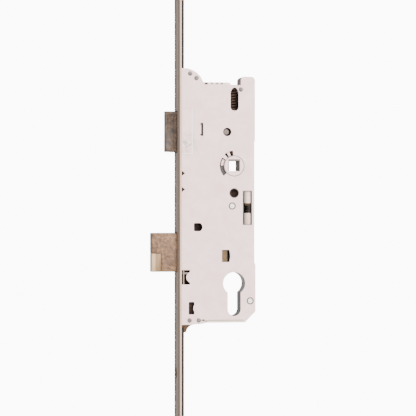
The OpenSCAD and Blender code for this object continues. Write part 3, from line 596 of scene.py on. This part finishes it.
class Finishes(Enum):
    """Every finish of the lock, by the piece of metal that it belongs to."""

    # The plating gives the eye a soft taupe sheen with streaks along the strip
    STRIP = StripPlating(
        "zinc_plated_strip", "#a3846b", "#7a614d", patch_mm=2.2, grain_mm=0.5,
        roughness=0.42, metallic=0.2, stretch=(1.0, 1.0, 0.03), specular=0.3)
    # The lacquered sheet is matt and pale, with hardly any pattern; its punched edges are bare
    # metal in painted shade
    SHEET = CaseSheet(
        "lacquered_case_sheet", "#ffded8", "#f8d2cb", grain_mm=0.9,
        grain_depth_mm=0.012, grain_tint=0.05, roughness=0.55, roughness_spread=0.06,
        wall="#756a64", line="#4a3e39",
        rings=rings_at([GEAR_PLACE], 3.2, 3.9) + rings_at(rivet_places(FLUSH_RIVETS_MM), 1.9, 2.85))
    # The inside of the case is bare galvanised sheet and greyer
    LINING = Finish(
        "galvanised_inner_sheet", "#8d837b", "#6d635c", patch_mm=5.0, grain_mm=0.7,
        metallic=0.5)
    # Cast bolts look mottled brown-pink, rough and dull
    CAST = CastMetal(
        "tumbled_cast_steel", "#9c7351", "#654832", patch_mm=2.6, grain_mm=1.1,
        grain_depth_mm=0.14, grain_tint=0.6, roughness=0.55, metallic=0.2)
    # The latch is darker and browner than the bolt, with wide dark blotches
    LATCH = CastMetal(
        "oiled_cast_steel", "#5d4634", "#34271e", patch_mm=4.0, grain_mm=1.1,
        grain_depth_mm=0.14, grain_tint=0.6, metallic=0.1, blotch="#211a16", specular=0.35)
    # The insert in the bolt's toe is hardened, ground smooth and brightest at its tip
    INSERT = GradedFinish(
        "ground_hardened_steel", "#8a6a46", "#6a4f34", patch_mm=3.0, grain_depth_mm=0.01,
        roughness=0.35, metallic=0.3, stretch=(1.0, 1.0, 0.2),
        second="#bd9870", along="X", starts=-0.0612, ends=-0.0628)
    # Turned and plated rollers and studs catch one long highlight
    TURNED = TurnedSteel(
        "nickel_plated_turned_steel", "#7c6a5f", "#5a4b42", patch_mm=5.0, grain_mm=0.4,
        grain_depth_mm=0.015, roughness=0.27, metallic=0.85)
    # Rivets are soft steel, upset cold, and the flush ones lie in a fine dark groove
    RIVET = Finish(
        "upset_rivet_steel", "#fff6f2", "#eadcd7", patch_mm=1.4, grain_mm=0.3,
        roughness=0.42, metallic=0.2, rings=rings_at(rivet_places(FLUSH_RIVETS_MM), 1.9, 2.9),
        line="#3a302c")
    # Upset ends of the small rivets are a duller grey
    RIVET_END = Finish(
        "rubbed_rivet_steel", "#7d726f", "#4f4644", patch_mm=1.4, grain_mm=0.3,
        roughness=0.42, metallic=0.4)
    # The spring's post was turned and centred, which leaves rings on its end
    POST = Finish(
        "centred_turned_pin", "#77685b", "#5a4e45", patch_mm=1.2, grain_mm=0.25,
        grain_depth_mm=0.015, roughness=0.4, metallic=0.2, line="#453b36",
        rings=rings_at([post_place()], 0.0, 0.5) + rings_at([post_place()], 1.75, 2.4))
    # The hub is pressed from steel powder: even, pale and a little porous
    SINTERED = HubSteel(
        "sintered_steel", "#ffe0da", "#f3cfc8", patch_mm=2.5, grain_mm=0.35,
        grain_depth_mm=0.03, grain_tint=0.16, metallic=0.1, wall="#4c4137",
        rings=rings_at([(0.0, 0.0)], 7.6, 8.25), line="#7d7370")
    # The springs' follower is blanked from bright strip and keeps faint shear lines
    BLANKED = Finish(
        "blanked_bright_steel", "#d6bfb4", "#a8917f", patch_mm=3.5, grain_mm=0.5,
        grain_depth_mm=0.015, roughness=0.4, metallic=0.2, stretch=(1.0, 1.0, 0.25),
        wall="#6a605b")
    # The racks' faces are polished, with the tone of shade at their front edge and recesses
    RACK = GradedFinish(
        "polished_blanked_rack", "#e8cabb", "#d0b1a1", patch_mm=3.5, grain_mm=0.5,
        grain_depth_mm=0.015, roughness=0.4, metallic=0.2, stretch=(1.0, 1.0, 0.25),
        second="#2e2520", along="X", starts=0.0112, ends=0.0079, deep_from=-0.0058)
    # Drive rods are black hot-rolled bar, oiled
    ROD = Finish(
        "oiled_hot_rolled_bar", "#281f1a", "#1b1410", patch_mm=3.0, grain_mm=0.6,
        grain_depth_mm=0.03, grain_tint=0.3, roughness=0.6, specular=0.2,
        stretch=(1.0, 1.0, 0.08))
    # The slide has a yellow passivation that reads as tan, and the tone of shade in the case
    SLIDE = GradedFinish(
        "yellow_passivated_slide", "#8d7256", "#6b543e", patch_mm=3.0, grain_mm=0.6,
        metallic=0.1, stretch=(1.0, 1.0, 0.2), specular=0.2, second="#35271f")
    # Clips are bent from the same passivated sheet
    CLIP = Finish(
        "yellow_passivated_sheet", "#b09d88", "#8c7862", patch_mm=3.0, grain_mm=0.6,
        roughness=0.42, metallic=0.4, stretch=(1.0, 1.0, 0.2))
    # The collar in the cylinder's hole is a mid grey strip, shaded round the hole's tail
    COLLAR = GradedFinish(
        "bent_collar_strip", "#98928f", "#75706d", patch_mm=4.0, grain_mm=0.5,
        grain_depth_mm=0.012, roughness=0.4, metallic=0.2, stretch=(1.0, 0.3, 1.0),
        second="#2a2725", starts=-0.0972, ends=-0.0992)
    # Inner parts are phosphated, and their near-black tone is also painted shade of the case's dark
    # inside
    PHOSPHATED = Finish(
        "phosphated_steel_and_shade", "#3b2b23", "#261a14", patch_mm=2.5, grain_mm=0.4,
        grain_tint=0.3, roughness=0.7, specular=0.15)
    # Cast brass, dulled to a tan, and dark in the shade of its window's rear edge
    BRASS = GradedFinish(
        "dull_brass", "#70542c", "#4f3a1c", patch_mm=2.6, grain_mm=0.35,
        grain_depth_mm=0.012, roughness=0.42, metallic=0.4,
        second="#2e2113", along="X", starts=-0.0072, ends=-0.0045)
    # The gear and the cup are greased brass, a dark brown
    GREASED_BRASS = Finish(
        "greased_brass", "#453317", "#2c200d", patch_mm=2.6, grain_mm=0.35,
        grain_depth_mm=0.012, roughness=0.6, specular=0.2)
    # Drawn spring wire, oiled, is a dark brown that stays dull
    WIRE = Finish(
        "drawn_spring_wire", "#6a4f40", "#4a382e", patch_mm=1.2, grain_mm=0.25,
        grain_depth_mm=0.01, roughness=0.65, specular=0.25)


def clear() -> None:
    """Leaves edit mode and deselects everything."""
    if bpy.context.mode != "OBJECT":
        bpy.ops.object.mode_set(mode="OBJECT")
    bpy.ops.object.select_all(action="DESELECT")


def take(piece: Piece) -> None:
    """Selects one piece alone and makes it active."""
    clear()
    piece.select_set(True)
    bpy.context.view_layer.objects.active = piece


def settle(piece: Piece) -> None:
    """Puts a piece's place, turn and size into its mesh."""
    take(piece)
    bpy.ops.object.transform_apply(location=True, rotation=True, scale=True)


def edit(piece: Piece, kind: str = "VERT", action: str = "SELECT") -> None:
    """Takes a piece into edit mode, where all of a kind is selected or deselected."""
    take(piece)
    bpy.ops.object.mode_set(mode="EDIT")
    bpy.ops.mesh.select_mode(type=kind)
    bpy.ops.mesh.select_all(action=action)


def face_outwards() -> None:
    """Turns every face of the edited piece outwards and leaves edit mode."""
    bpy.ops.mesh.select_all(action="SELECT")
    bpy.ops.mesh.normals_make_consistent(inside=False)
    clear()


def block(name: str, low: Sequence[float], high: Sequence[float]) -> Piece:
    """A block between its lowest and its highest corner, ready to be shaped."""
    clear()
    lo, hi = Vector(low), Vector(high)
    bpy.ops.mesh.primitive_cube_add(size=1.0, location=(lo + hi) / 2, scale=hi - lo)
    piece = bpy.context.active_object
    piece.name = piece.data.name = name
    settle(piece)
    return piece


def turned(name: str, start: Sequence[float], axis: Axis, stations: Sequence[Station],
           bore: bool = False, sides: int = 48) -> Piece:
    """A turned piece: a circle drawn out along an axis from station to station.

    Args:
        name: the piece's name.
        start: where the axis begins.
        axis: which way the piece grows.
        stations: distance along the axis and radius, one pair for each ring.
        bore: whether the last ring is joined to the first, which leaves a bore.
        sides: how many sides each ring has.

    Returns:
        The new object, closed.
    """
    clear()
    along = Vector(axis.value)
    origin = Vector(start)
    turn = along.to_track_quat("Z", "Y").to_euler()
    before = stations[0]
    bpy.ops.mesh.primitive_circle_add(
        vertices=sides, radius=before[1], fill_type="NOTHING" if bore else "NGON",
        location=origin + along * before[0], rotation=turn)
    piece = bpy.context.active_object
    piece.name = piece.data.name = name
    settle(piece)
    edit(piece)
    for station in stations[1:]:
        step = along * (station[0] - before[0])
        bpy.ops.mesh.extrude_region_move(TRANSFORM_OT_translate={"value": step})
        ratio = station[1] / before[1]
        grow = [1.0 if abs(a) > 0.5 else ratio for a in along]
        bpy.ops.transform.resize(value=grow, center_override=origin + along * station[0])
        before = station
    if bore:
        bpy.ops.mesh.select_all(action="DESELECT")
        bpy.ops.mesh.select_non_manifold(extend=False)
        bpy.ops.mesh.bridge_edge_loops()
    face_outwards()
    return piece


def another(piece: Piece, name: str, shift: Sequence[float]) -> Piece:
    """Copies a piece with a mesh of its own, and shifts the copy."""
    take(piece)
    bpy.ops.object.duplicate()
    twin = bpy.context.active_object
    twin.name = twin.data.name = name
    twin.location = shift
    settle(twin)
    return twin


def pick(piece: Piece, wanted: Callable[[Vector, Vector], bool]) -> None:
    """Enters edit mode and selects the faces whose middle and normal a test wants."""
    edit(piece, "FACE", "DESELECT")
    for face in bmesh.from_edit_mesh(piece.data).faces:
        if wanted(face.calc_center_median(), face.normal):
            face.select_set(True)
    bmesh.update_edit_mesh(piece.data)


def pick_points(piece: Piece, wanted: Callable[[Vector], bool]) -> None:
    """Enters edit mode and selects the corners that a test of their place wants."""
    edit(piece, "VERT", "DESELECT")
    net = bmesh.from_edit_mesh(piece.data)
    for point in net.verts:
        if wanted(point.co):
            point.select_set(True)
    net.select_flush(True)
    bmesh.update_edit_mesh(piece.data)


def modify(piece: Piece, kind: str, **settings: Any) -> None:
    """Adds a modifier of a kind to a piece, sets its properties and applies it."""
    take(piece)
    change = piece.modifiers.new(kind.lower(), kind)
    for key, value in settings.items():
        setattr(change, key, value)
    bpy.ops.object.modifier_apply(modifier=change.name)


def smooth(piece: Piece, degrees: float) -> None:
    """Smooths the edges of a piece that bend by fewer degrees than this."""
    take(piece)
    bpy.ops.object.shade_smooth_by_angle(angle=math.radians(degrees))
    clear()


def soften(piece: Piece, width_mm: float, segments: int, angle: float = 35.0) -> None:
    """Rounds the sharp edges of a piece and smooths what is nearly flat.

    Args:
        piece: the piece.
        width_mm: width of the rounding.
        segments: steps in the rounding.
        angle: edges sharper than this many degrees are rounded.
    """
    modify(piece, "BEVEL", width=width_mm * MM, segments=segments,
           limit_method="ANGLE", angle_limit=math.radians(angle))
    edit(piece)
    face_outwards()
    smooth(piece, 30)


def copy_of(node: str, name: str) -> Piece:
    """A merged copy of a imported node, ready to have its edges rounded.

    Args:
        node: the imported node's name.
        name: the copy's name.

    Returns:
        The copy, with its flat faces made whole again.
    """
    clear()
    piece = bpy.data.objects.new(name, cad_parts[node].data.copy())
    piece.data.name = name
    bpy.context.scene.collection.objects.link(piece)
    take(piece)
    bpy.ops.mesh.customdata_custom_splitnormals_clear()
    edit(piece)
    bpy.ops.mesh.remove_doubles(threshold=WELD)
    bpy.ops.mesh.dissolve_limited(angle_limit=math.radians(1))
    clear()
    return piece


def hand_over(piece: Piece, finish: Finishes, body: str,
              replaces: Sequence[str] = ()) -> None:
    """Finishes a piece and puts it on the body that it moves with.

    Args:
        piece: the piece.
        finish: its finish.
        body: the body that it rides on.
        replaces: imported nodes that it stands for.
    """
    finish.value.on(piece)
    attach(piece, body)
    if replaces:
        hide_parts(*replaces)
    LOG.info("%s rides on %s, %d faces", piece.name, body, len(piece.data.polygons))


def rework(node: str, name: str, edge_mm: float, segments: int, finish: Finishes,
           body: str) -> None:
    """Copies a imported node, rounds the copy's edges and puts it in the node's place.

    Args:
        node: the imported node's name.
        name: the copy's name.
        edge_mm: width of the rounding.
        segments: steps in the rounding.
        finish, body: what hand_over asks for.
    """
    piece = copy_of(node, name)
    soften(piece, edge_mm, segments)
    hand_over(piece, finish, body, [node])


def dress(nodes: Iterable[str], finish: Finishes) -> None:
    """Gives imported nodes, whose shapes are right as they are, their finish."""
    for node in nodes:
        finish.value.on(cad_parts[node])
        LOG.info("%s is finished as %s", node, finish.value.name)


@dataclass
class Case:
    """The case: pressed tray, punched cover and what rivets them together.

    The dome of a rivet's head is given in shares of its rise and of its radius.
    """

    edge_mm: float = 0.16
    rivet_r_mm: float = 1.75
    rivet_rise_mm: float = 0.52
    rivet_sunk_mm: float = 0.05
    dome: tuple[Station, ...] = ((0.0, 1.0), (0.5, 1.0), (0.85, 0.82), (1.0, 0.5), (1.04, 0.2))
    front_y: float = -0.0075

    def shells(self) -> None:
        """Cover and tray with the slightly rolled edges of punched sheet."""
        for node, name in (("case_cover", "punched_cover"), ("case_tray", "pressed_tray")):
            rework(node, name, self.edge_mm, 1, Finishes.SHEET, "case")

    def rivets(self) -> None:
        """Domed heads, upset over the ends of the rivets."""
        ends = rivet_places(SMALL_RIVETS_MM)
        rise, radius = self.rivet_rise_mm * MM, self.rivet_r_mm * MM
        first_x, first_z = ends[0]
        first = turned(
            "rivet_head_1", (first_x, self.front_y + self.rivet_sunk_mm * MM, first_z),
            Axis.MINUS_Y, [(rise * up, radius * out) for up, out in self.dome], sides=32)
        soften(first, 0.03, 1, 60)
        heads = [first]
        for count, (x, z) in enumerate(ends[1:], 2):
            heads.append(another(first, f"rivet_head_{count}", (x - first_x, 0, z - first_z)))
        for head in heads:
            hand_over(head, Finishes.RIVET_END, "case")

    def build(self) -> None:
        """Makes the whole case."""
        self.shells()
        self.rivets()
        dress(["case_rivets", "case_posts"], Finishes.RIVET)
        dress(["latch_spring_post"], Finishes.POST)
        dress(["latch_guide", "deadbolt_guide"], Finishes.LINING)
        dress(["cylinder_collar"], Finishes.COLLAR)
        dress(["screw_blocks", "gear_stud", "lever_post"], Finishes.PHOSPHATED)


@dataclass
class Faceplate:
    """The strip across the door's edge, its screws and the clips behind it."""

    edge_mm: float = 0.12
    head_r_mm: float = 3.8
    head_rim_mm: float = 0.12
    head_taper: float = 0.97
    screw_sink_mm: float = 1.8
    shank_r_mm: float = 2.0
    tip_r_mm: float = 1.4
    tip_mm: float = 0.8
    recess_mm: float = 1.5
    wing_mm: Station = (2.1, 0.4)
    wing_taper: float = 0.55
    screw_heights: tuple[float, float] = (-0.0128, -0.1113)

    def screws(self) -> None:
        """Countersunk screws with a tapered cross recess that hold the case."""
        low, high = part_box("case_screws")
        z = self.screw_heights[0]
        radius, shank, length = self.head_r_mm * MM, self.shank_r_mm * MM, high.x - low.x
        screw = turned(
            "case_screw_1", (low.x, 0.0, z), Axis.X,
            [(0.0, radius * self.head_taper), (self.head_rim_mm * MM, radius),
             (self.screw_sink_mm * MM, shank), (length - self.tip_mm * MM, shank),
             (length, self.tip_r_mm * MM)])
        for count, wing_mm in enumerate((self.wing_mm, self.wing_mm[::-1])):
            wide, tall = (size * MM for size in wing_mm)
            wing = block(f"wing_{count}", (low.x - MM, -wide, z - tall),
                         (low.x + self.recess_mm * MM, wide, z + tall))
            pick(wing, lambda middle, normal: normal.x > FACING)
            bpy.ops.transform.resize(value=(1, self.wing_taper, self.wing_taper))
            modify(screw, "BOOLEAN", operation="DIFFERENCE", object=wing)
            bpy.data.objects.remove(wing)
        soften(screw, 0.05, 1)
        lower = another(screw, "case_screw_2", (0, 0, self.screw_heights[1] - z))
        hand_over(screw, Finishes.TURNED, "case", ["case_screws"])
        hand_over(lower, Finishes.TURNED, "case")

    def build(self) -> None:
        """Makes the strip and its screws."""
        rework("faceplate", "plated_strip", self.edge_mm, 1, Finishes.STRIP,
               "case")
        self.screws()
        dress(["rod_guides"], Finishes.CLIP)


@dataclass
class Latch:
    """The spring latch: a cast head with a raised rim, and its tail."""

    rim_mm: float = 1.3
    sunk_mm: float = 0.35
    rim_slope_mm: float = 0.4
    edge_mm: float = 0.6
    tip_flat_mm: float = 2.2
    clear_mm: float = 0.5

    def head(self) -> None:
        """The cast head, sloped on its closing side, with a sunk field on the other."""
        low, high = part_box("latch_bolt")
        slope_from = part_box("faceplate")[0].x - self.clear_mm * MM
        near = 0.1 * MM
        head = block("latch_head", low, high)
        edit(head)
        bpy.ops.mesh.bisect(plane_co=(slope_from, 0, 0), plane_no=(1, 0, 0))
        pick_points(head, lambda p: p.x < low.x + near and p.y > high.y - near)
        drop = (high.y - low.y) - self.tip_flat_mm * MM
        bpy.ops.transform.translate(value=(0, -drop, 0))
        soften(head, self.edge_mm, 3)
        pick(head, lambda m, n: n.y < -0.99 and m.x < slope_from)
        bpy.ops.mesh.inset(thickness=self.rim_mm * MM, depth=0)
        bpy.ops.mesh.inset(thickness=self.rim_slope_mm * MM, depth=-self.sunk_mm * MM)
        hand_over(head, Finishes.LATCH, "latch", ["latch_bolt"])

    def build(self) -> None:
        """Makes the latch."""
        self.head()
        dress(["latch_tail"], Finishes.PHOSPHATED)


@dataclass
class Deadbolt:
    """The deadbolt: a cast body, a smooth hardened toe, its tail and the lever."""

    edge_mm: float = 0.7
    insert_edge_mm: float = 0.5

    def build(self) -> None:
        """Makes the casting and its ground toe, and dresses what moves them."""
        rework("deadbolt", "deadbolt_casting", self.edge_mm, 3, Finishes.CAST,
               "deadbolt_body")
        rework("bolt_insert", "ground_toe", self.insert_edge_mm, 3, Finishes.INSERT,
               "deadbolt_body")
        dress(["deadbolt_tail", "deadbolt_lever"], Finishes.PHOSPHATED)
        dress(["tail_block"], Finishes.BRASS)


@dataclass
class Gearing:
    """The hub, the two-step gear, the racks and the slides that they move.

    The fine chamfer on the hub's edges outlines it in the cover.
    """

    edge_mm: float = 0.15

    def build(self) -> None:
        """Makes the gearing."""
        rework("spindle_hub", "handle_hub", self.edge_mm, 1, Finishes.SINTERED,
               "hub")
        dress(["drive_gear", "buffer_cup"], Finishes.GREASED_BRASS)
        dress(["spring_follower"], Finishes.BLANKED)
        dress(["upper_rack", "lower_rack"], Finishes.RACK)
        dress(["lower_slide"], Finishes.SLIDE)
        dress(["upper_drive_rod", "lower_drive_rod"], Finishes.ROD)


@dataclass
class Rollers:
    """The four rollers and the riveted studs that carry them.

    The rims are given by the distance from their end and by how far they lie under the
    roller's radius, and the groove by its share of the length and its depth.
    """

    bodies: tuple[str, ...] = ("roller_1", "roller_2", "roller_3", "roller_4")
    bore_r_mm: float = 2.55
    recess_r_mm: float = 3.6
    recess_mm: float = 0.9
    inner_rim_mm: tuple[Station, ...] = ((0.0, 0.5), (0.12, 0.2), (0.4, 0.0))
    groove: tuple[Station, ...] = ((0.42, 0.0), (0.45, 0.12), (0.55, 0.12), (0.58, 0.0))
    outer_rim_mm: tuple[Station, ...] = ((0.9, 0.0), (0.25, 0.65), (0.0, 0.95))

    def roller(self, node: str) -> Piece:
        """One roller: a ring with a chamfered rim and a recess for the stud's head."""
        low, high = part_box(node)
        middle = (low + high) / 2
        length, radius = high.x - low.x, (high.z - low.z) / 2
        bore, recess = self.bore_r_mm * MM, self.recess_r_mm * MM
        bottom = length - self.recess_mm * MM
        stations = [(0.0, bore)]
        stations += [(along * MM, radius - lost * MM) for along, lost in self.inner_rim_mm]
        stations += [(length * share, radius - lost * MM) for share, lost in self.groove]
        stations += [(length - along * MM, radius - lost * MM)
                     for along, lost in self.outer_rim_mm]
        stations += [(length, recess), (bottom, recess), (bottom, bore)]
        piece = turned(f"turned_{node}", (high.x, middle.y, middle.z), Axis.MINUS_X,
                       stations, bore=True, sides=64)
        soften(piece, 0.05, 1, 40)
        return piece

    def build(self) -> None:
        """Makes the first roller, copies it for the others, and dresses all four."""
        first = self.roller(self.bodies[0])
        made = [first]
        for node in self.bodies[1:]:
            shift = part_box(node)[0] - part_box(self.bodies[0])[0]
            made.append(another(first, f"turned_{node}", shift))
        for node, piece in zip(self.bodies, made):
            hand_over(piece, Finishes.TURNED, "roller_body_" + node[-1], [node])
        dress(["upper_roller_studs", "lower_roller_studs"], Finishes.TURNED)


@dataclass(frozen=True)
class Winding:
    """One wound spring: the node that it stands for, and its sizes and finish.

    The radius runs from the axis to the middle of the wire.
    """

    name: str
    node: str
    body: str
    axis: Axis
    radius_mm: float
    wire_mm: float
    turns: int
    finish: Finishes


@dataclass
class Springs:
    """The wound springs, drawn round and smooth in place of their plain coils."""

    steps: int = 24
    wire_sides: int = 10
    buffer: Winding = Winding("buffer_coil", "buffer_spring", "lower_rod", Axis.Z,
                              1.0, 0.6, 4, Finishes.PHOSPHATED)
    latch: Winding = Winding("latch_coil", "latch_spring", "case", Axis.X,
                             2.2, 0.8, 10, Finishes.WIRE)
    hub: Winding = Winding("hub_return_coil", "hub_return_spring", "case", Axis.Z,
                           2.5, 0.9, 8, Finishes.WIRE)
    latch_travel_mm: float = 10.0
    hub_travel_mm: float = 9.4

    def coil(self, winding: Winding) -> tuple[Piece, Vector, float]:
        """Winds one spring and puts it on its body.

        Returns:
            The spring, the high corner of the node that it stands for, and its length.
        """
        low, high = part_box(winding.node)
        way = winding.axis.value.index(1.0)
        length, wire = high[way] - low[way], winding.wire_mm * MM
        start = (low + high) / 2
        start[way] = low[way]
        clear()
        bpy.ops.mesh.primitive_circle_add(
            vertices=self.wire_sides, radius=wire / 2,
            location=(winding.radius_mm * MM, 0, wire / 2), rotation=(math.pi / 2, 0, 0))
        piece = bpy.context.active_object
        piece.name = piece.data.name = winding.name
        settle(piece)
        modify(piece, "SCREW", axis="Z", angle=2 * math.pi, iterations=winding.turns,
               screw_offset=(length - wire) / winding.turns, steps=self.steps,
               render_steps=self.steps)
        edit(piece)
        bpy.ops.mesh.remove_doubles(threshold=0.001 * MM)
        bpy.ops.mesh.fill_holes(sides=0)
        face_outwards()
        piece.rotation_euler = Vector(winding.axis.value).to_track_quat("Z", "Y").to_euler()
        piece.location = start
        settle(piece)
        smooth(piece, 60)
        hand_over(piece, winding.finish, winding.body, [winding.node])
        return piece, high, length

    def build(self) -> None:
        """Winds the springs, and gives two of them meshes of their own."""
        self.coil(self.buffer)
        turns, high, length = self.coil(self.latch)
        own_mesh(turns)
        turns, high, length = self.coil(self.hub)
        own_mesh(turns)


@dataclass(frozen=True)
class Lamp:
    """A soft square light: its place, its side in metres and its power in watts."""

    name: str
    place: Point
    size: float
    power: float


@dataclass
class Studio:
    """A pale floor, soft light from all round, and the camera of the photograph."""

    aim: Point = (-0.0209, -0.0075, -0.040)
    azimuth: float = -10.6
    distance: float = 1.600
    lens_mm: float = 177.2
    shift_y: float = 0.0216
    surround: float = 1.0
    backdrop: float = 11.0
    floor_r: float = 5.5
    floor_gap_mm: float = 2.0
    lamps: tuple[Lamp, ...] = (Lamp("window_light", (1.1, -1.5, 1.0), 1.0, 75.0),
                               Lamp("front_light", (0.2, -2.0, 0.2), 1.2, 30.0))

    def floor(self) -> None:
        """A pale round floor under the lock's lower end."""
        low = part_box("faceplate")[0]
        clear()
        bpy.ops.mesh.primitive_circle_add(vertices=96, radius=self.floor_r, fill_type="NGON",
                                          location=(0, 0, low.z - self.floor_gap_mm * MM))
        floor = bpy.context.active_object
        floor.name = "studio_floor"
        settle(floor)
        Finish("pale_floor_paint", "#ffffff", "#f8f7f5", patch_mm=300.0, grain_mm=4.0,
               grain_tint=0.02, roughness=0.8).on(floor)

    def light(self, lamp: Lamp) -> None:
        """Sets up one light, turned to face the case."""
        data = bpy.data.lights.new(lamp.name, "AREA")
        data.size, data.energy = lamp.size, lamp.power
        stand = bpy.data.objects.new(lamp.name, data)
        stand.visible_camera = False
        bpy.context.scene.collection.objects.link(stand)
        stand.location = lamp.place
        towards = Vector(self.aim) - Vector(lamp.place)
        stand.rotation_euler = towards.to_track_quat("-Z", "Y").to_euler()

    def world(self) -> None:
        """A plain white backdrop, and a dimmer white surround that lights every side."""
        world = bpy.data.worlds.new("white_surround")
        world.use_nodes = True
        tree = world.node_tree
        tree.nodes.clear()
        ray = add_node(tree, "ShaderNodeLightPath")
        strength = add_node(tree, "ShaderNodeMix", {"data_type": "FLOAT"}, {
            0: ray.outputs["Is Camera Ray"], 2: self.surround, 3: self.backdrop})
        back = add_node(tree, "ShaderNodeBackground", None, {
            "Color": (1.0, 1.0, 1.0, 1.0), "Strength": strength.outputs[0]})
        add_node(tree, "ShaderNodeOutputWorld", None, {"Surface": back.outputs[0]})
        bpy.context.scene.world = world

    def camera(self) -> None:
        """The camera at the photograph's angle, level with the middle of the case."""
        data = bpy.data.cameras.new("photograph")
        data.lens = self.lens_mm
        data.sensor_width = 36.0
        data.shift_y = self.shift_y
        data.clip_start, data.clip_end = 0.01, 50.0
        eye = bpy.data.objects.new("photograph", data)
        bpy.context.scene.collection.objects.link(eye)
        turn = math.radians(self.azimuth)
        back = Vector((math.sin(turn), -math.cos(turn), 0.0))
        eye.location = Vector(self.aim) + back * self.distance
        eye.rotation_euler = (-back).to_track_quat("-Z", "Y").to_euler()
        bpy.context.scene.camera = eye

    def build(self) -> None:
        """Sets the studio up."""
        self.floor()
        self.world()
        for lamp in self.lamps:
            self.light(lamp)
        self.camera()


def main() -> None:
    """Builds every sub-assembly in order."""
    logging.basicConfig(level=logging.INFO, format="%(name)s: %(message)s")
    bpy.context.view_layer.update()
    parts = [Studio(), Faceplate(), Case(), Latch(), Deadbolt(), Gearing(), Rollers(),
             Springs()]
    for part in parts:
        part.build()
        LOG.info("%s is built", type(part).__name__)
    clear()


if __name__ == "__main__":
    main()
